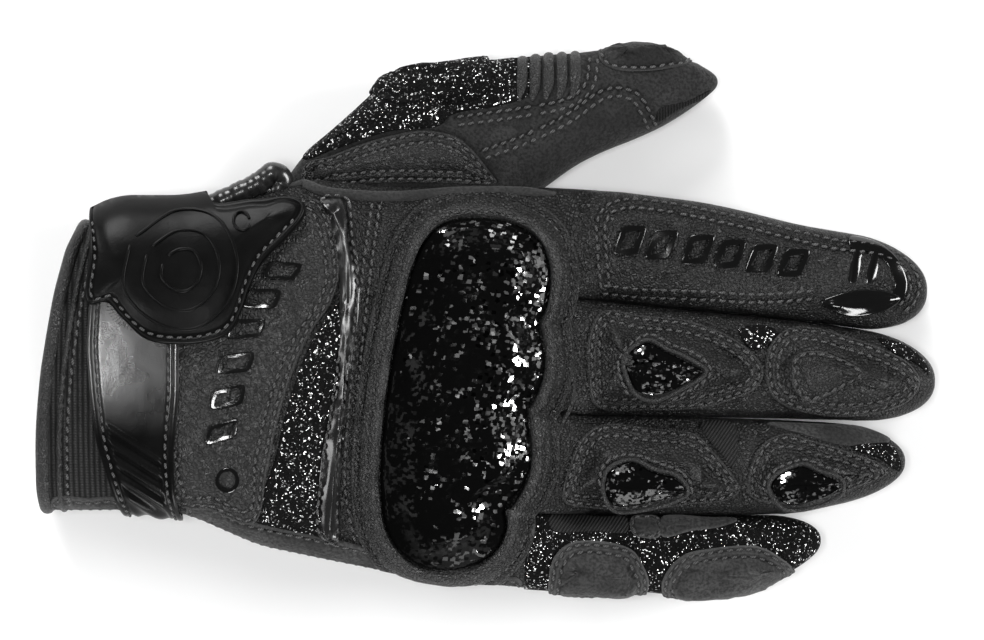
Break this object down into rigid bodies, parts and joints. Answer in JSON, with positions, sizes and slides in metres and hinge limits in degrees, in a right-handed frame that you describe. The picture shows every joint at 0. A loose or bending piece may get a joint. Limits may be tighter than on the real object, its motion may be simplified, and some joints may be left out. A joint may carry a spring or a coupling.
{
  "type": "motorcycle riding glove",
  "caption": "Short-cuff right-hand leather motorcycle glove with a hard carbon knuckle guard, padded fingers, moulded strap tab and a hook-and-loop wrist strap",
  "frame": {"origin": "middle of the footprint of the glove lying palm down, on the surface it lies on", "axes": "+X from the cuff to the fingertips, +Y to the thumb side, +Z out of the back of the hand"},
  "size_m": [0.2509, 0.1546, 0.042],
  "materials": {
    "leather": "black full-grain leather, fine pebbled grain, low sheen",
    "suede": "black suede, matte short nap",
    "carbon": "black carbon-fibre weave under clear gloss",
    "tab_rubber": "moulded black rubber, satin, raised contour lines",
    "slider": "hard black plastic, satin",
    "gloss": "coated synthetic leather, smooth and glossy",
    "stretch": "black stretch knit with glossy threads",
    "lining": "dark grey brushed knit",
    "hook_and_loop": "black hook-and-loop tape",
    "foam": "dark closed-cell foam"
  },
  "bodies": {
    "hand": {"back_panel": "leather", "palm_panel": "suede", "little_side_panel": "leather", "index_side_panel": "suede", "stretch_panel": "stretch", "wrist_piping": "gloss", "knuckle_surround": "leather", "knuckle_foam": "foam", "knuckle_guard": "carbon", "hand_lining_back": "lining", "hand_lining_palm": "lining", "palm_slider": "slider", "palm_grip_patch": "suede", "thumb_gusset": "leather"},
    "cuff": {"cuff_back": "stretch", "cuff_palm": "suede", "cuff_little_side": "leather", "cuff_thumb_side": "leather", "wrist_panel": "leather", "strap_band": "gloss", "strap_anchor": "gloss", "loop_pad": "hook_and_loop", "cuff_binding": "leather", "gusset_binding": "gloss"},
    "strap_flap": {"hook_pad": "hook_and_loop", "strap_backing": "gloss", "strap_tab": "tab_rubber"},
    "index_base": {"index_base_back": "leather", "index_base_palm": "suede", "index_base_pad": "leather"},
    "index_tip": {"index_tip_back": "leather", "index_tip_palm": "suede", "index_tip_insert": "gloss"},
    "middle_base": {"middle_base_back": "leather", "middle_base_palm": "suede", "middle_base_insert": "carbon"},
    "middle_tip": {"middle_tip_back": "leather", "middle_tip_palm": "suede", "middle_tip_pad": "leather"},
    "ring_base": {"ring_base_back": "leather", "ring_base_palm": "suede", "ring_base_insert": "carbon"},
    "ring_tip": {"ring_tip_back": "leather", "ring_tip_palm": "suede", "ring_tip_insert": "carbon"},
    "little_base": {"little_base_back": "leather", "little_base_palm": "suede", "little_base_pad": "suede"},
    "little_tip": {"little_tip_back": "leather", "little_tip_palm": "suede", "little_tip_pad": "suede"},
    "thumb_base": {"thumb_base_back": "leather", "thumb_base_palm": "suede", "thumb_knuckle_pad": "stretch", "thumb_rib_base": "stretch"},
    "thumb_tip": {"thumb_tip_back": "leather", "thumb_tip_palm": "suede", "thumb_rib_tip": "stretch", "thumb_nail_pad": "leather"}
  },
  "joints": [
    {"name": "wrist_flex", "type": "hinge", "parent": "hand", "child": "cuff", "pos_m": [-0.054, -0.0137, 0.0155], "axis": [0, -1, 0], "range_deg": [-10, 25]},
    {"name": "strap_open", "type": "hinge", "parent": "cuff", "child": "strap_flap", "pos_m": [-0.088, 0.0344, 0.023], "axis": [-0.9928, -0.12, 0], "range_deg": [0, 140]},
    {"name": "index_knuckle", "type": "hinge", "parent": "hand", "child": "index_base", "pos_m": [0.0276, 0.0214, 0.0075], "axis": [0.134, 0.991, 0], "range_deg": [0, 75]},
    {"name": "index_middle_joint", "type": "hinge", "parent": "index_base", "child": "index_tip", "pos_m": [0.0712, 0.0155, 0.0075], "axis": [0.134, 0.991, 0], "range_deg": [0, 80]},
    {"name": "middle_knuckle", "type": "hinge", "parent": "hand", "child": "middle_base", "pos_m": [0.0276, -0.0104, 0.0075], "axis": [0.0645, 0.9979, 0], "range_deg": [0, 75]},
    {"name": "middle_middle_joint", "type": "hinge", "parent": "middle_base", "child": "middle_tip", "pos_m": [0.0755, -0.0135, 0.0075], "axis": [0.0645, 0.9979, 0], "range_deg": [0, 80]},
    {"name": "ring_knuckle", "type": "hinge", "parent": "hand", "child": "ring_base", "pos_m": [0.024, -0.0393, 0.0075], "axis": [0.0105, 0.9999, 0], "range_deg": [0, 75]},
    {"name": "ring_middle_joint", "type": "hinge", "parent": "ring_base", "child": "ring_tip", "pos_m": [0.069, -0.03977, 0.0075], "axis": [0.0105, 0.9999, 0], "range_deg": [0, 80]},
    {"name": "little_knuckle", "type": "hinge", "parent": "hand", "child": "little_base", "pos_m": [0.018, -0.0643, 0.0075], "axis": [-0.0366, 0.9993, 0], "range_deg": [0, 75]},
    {"name": "little_middle_joint", "type": "hinge", "parent": "little_base", "child": "little_tip", "pos_m": [0.04648, -0.06326, 0.0075], "axis": [-0.0366, 0.9993, 0], "range_deg": [0, 80]},
    {"name": "thumb_knuckle", "type": "hinge", "parent": "hand", "child": "thumb_base", "pos_m": [-0.022, 0.0533, 0.0075], "axis": [-0.165, 0.9863, 0], "range_deg": [0, 30]},
    {"name": "thumb_end_joint", "type": "hinge", "parent": "thumb_base", "child": "thumb_tip", "pos_m": [0.0143, 0.05937, 0.0075], "axis": [-0.1496, 0.8939, -0.4226], "range_deg": [0, 50]}
  ]
}
